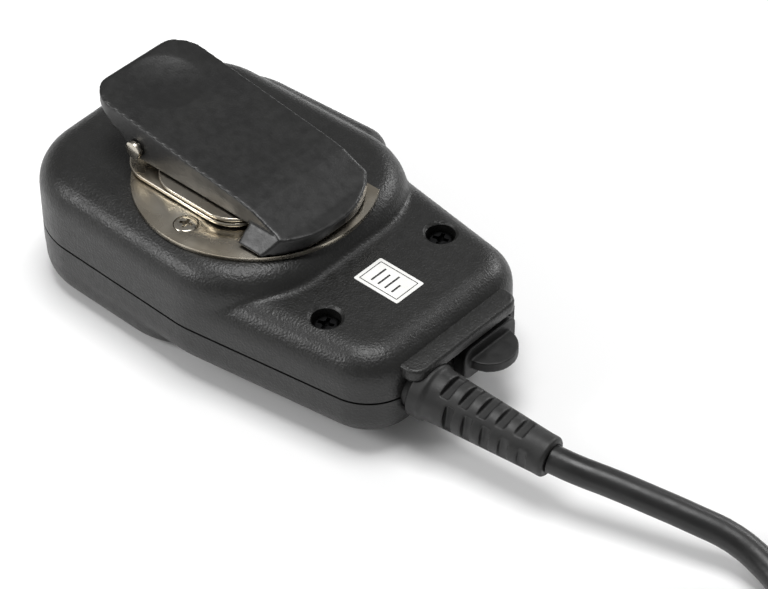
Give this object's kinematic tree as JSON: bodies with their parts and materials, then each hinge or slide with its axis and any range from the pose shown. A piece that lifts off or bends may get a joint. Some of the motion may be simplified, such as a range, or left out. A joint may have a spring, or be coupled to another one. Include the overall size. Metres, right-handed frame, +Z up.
{
  "type": "hand microphone",
  "caption": "Black palm-size speaker microphone for a two-way radio, with a swivelling steel and plastic belt clip, talk button, capped earphone jack and a cord with a plug.",
  "frame": {"origin": "on the front face that the microphone lies on, under the axis that the belt clip swivels on", "axes": "+X along the body towards the cord end, +Y across it towards the talk button, +Z up through the back face"},
  "size_m": [0.2668, 0.0945, 0.0439],
  "materials": {
    "case_black": "fine moulded pebble texture",
    "clip_black": "satin moulded",
    "rubber_black": "matte",
    "cord_black": "satin jacket",
    "screw_black": "black oxide",
    "steel_plate": "bright brushed",
    "speaker_steel": "zinc plated",
    "plug_nickel": "nickel plated",
    "capsule_metal": "satin",
    "magnet_iron": "sintered",
    "label_white": "smooth printed film",
    "cloth_black": "woven, matte",
    "inner_plastic": "plain",
    "board_green": "solder mask"
  },
  "bodies": {
    "body": {"rear_shell": "case_black", "front_shell": "case_black", "case_seal": "rubber_black", "case_screws": "screw_black", "talk_switch": "inner_plastic", "swivel_plate": "steel_plate", "plate_screws": "steel_plate", "swivel_rivet": "steel_plate", "rating_label": "label_white", "speaker_frame": "speaker_steel", "speaker_magnet": "magnet_iron", "speaker_gasket": "rubber_black", "grille_cloth": "cloth_black", "mic_capsule": "capsule_metal", "mic_holder": "rubber_black", "circuit_board": "board_green", "board_parts": "inner_plastic", "board_screws": "speaker_steel", "ear_jack": "inner_plastic", "cap_anchor": "rubber_black", "strain_relief": "rubber_black", "cord_clamp": "inner_plastic", "cord_core": "cord_black", "cord_lead": "cord_black", "cord_coil": "cord_black", "coil_tie": "rubber_black", "cord_tail": "cord_black", "plug_boot": "rubber_black", "plug_body": "clip_black", "plug_pin_large": "plug_nickel", "plug_pin_small": "plug_nickel"},
    "clip_base": {"clip_tongue": "steel_plate", "spring_leaf": "steel_plate", "leaf_screws": "steel_plate", "hinge_pin": "steel_plate", "clip_spring": "steel_plate"},
    "lever": {"clip_lever": "clip_black", "lever_core": "steel_plate"},
    "talk_button": {"talk_button": "rubber_black"},
    "plunger": {"switch_plunger": "inner_plastic"},
    "jack_cap": {"jack_cap": "rubber_black"},
    "cone": {"speaker_cone": "cloth_black"}
  },
  "joints": [
    {"name": "clip_swivel", "type": "hinge", "parent": "body", "child": "clip_base", "pos_m": [0, 0, 0.0306], "axis": [0, 0, 1], "continuous": true},
    {"name": "clip_open", "type": "hinge", "parent": "clip_base", "child": "lever", "pos_m": [-0.0195, 0, 0.036], "axis": [0, -1, 0], "range_deg": [0, 20], "stiffness_Nm_per_rad": 0.4, "springref_deg": -20.05},
    {"name": "talk_press", "type": "slide", "parent": "body", "child": "talk_button", "axis": [0, -1, 0], "range_m": [0, 0.0012], "stiffness_N_per_m": 600, "springref_m": -0.001},
    {"name": "switch_press", "type": "slide", "parent": "body", "child": "plunger", "axis": [0, -1, 0], "range_m": [0, 0.0012]},
    {"name": "cap_open", "type": "hinge", "parent": "body", "child": "jack_cap", "pos_m": [0.0554, 0.0152, 0.0137], "axis": [0, 0, 1], "range_deg": [0, 110]},
    {"name": "cone_travel", "type": "slide", "parent": "body", "child": "cone", "axis": [0, 0, 1], "range_m": [-0.0003, 0.0003], "stiffness_N_per_m": 800}
  ],
  "couplings": [
    {"joint": "switch_press", "follows": "talk_press", "ratio": 1}
  ]
}
